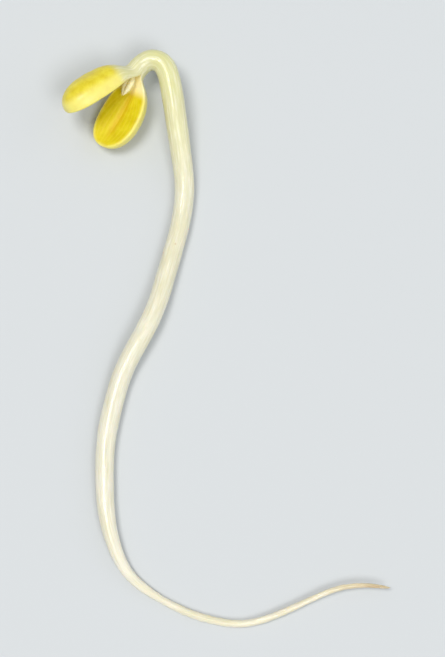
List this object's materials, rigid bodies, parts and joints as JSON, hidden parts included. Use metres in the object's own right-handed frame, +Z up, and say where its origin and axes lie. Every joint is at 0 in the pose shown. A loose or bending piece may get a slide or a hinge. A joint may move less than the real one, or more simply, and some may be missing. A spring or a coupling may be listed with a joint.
{
  "type": "soybean sprout",
  "caption": "Soybean sprout lying on its side, with gaping waxy yellow seed leaves on a hooked pale stem that curves down into a long thin tapering root.",
  "frame": {"origin": "on the surface it lies on, under the middle of its box", "axes": "+Z up from the surface, +Y along its long side towards the seed leaves, +X across to the side the stem bows to below the crook"},
  "size_m": [0.0474, 0.0842, 0.0094],
  "materials": {
    "stem_and_root": "moist translucent white stem, yellow-green at the crook, opaque cream at the root",
    "cotyledon_upper": "waxy lemon yellow dome, deep yellow inner face",
    "cotyledon_lower": "waxy lemon yellow dome, deep yellow inner face",
    "plumule": "soft cream folded leaves"
  },
  "bodies": {
    "root": {"stem_and_root": "stem_and_root", "cotyledon_upper": "cotyledon_upper", "cotyledon_lower": "cotyledon_lower", "plumule": "plumule"}
  },
  "joints": []
}
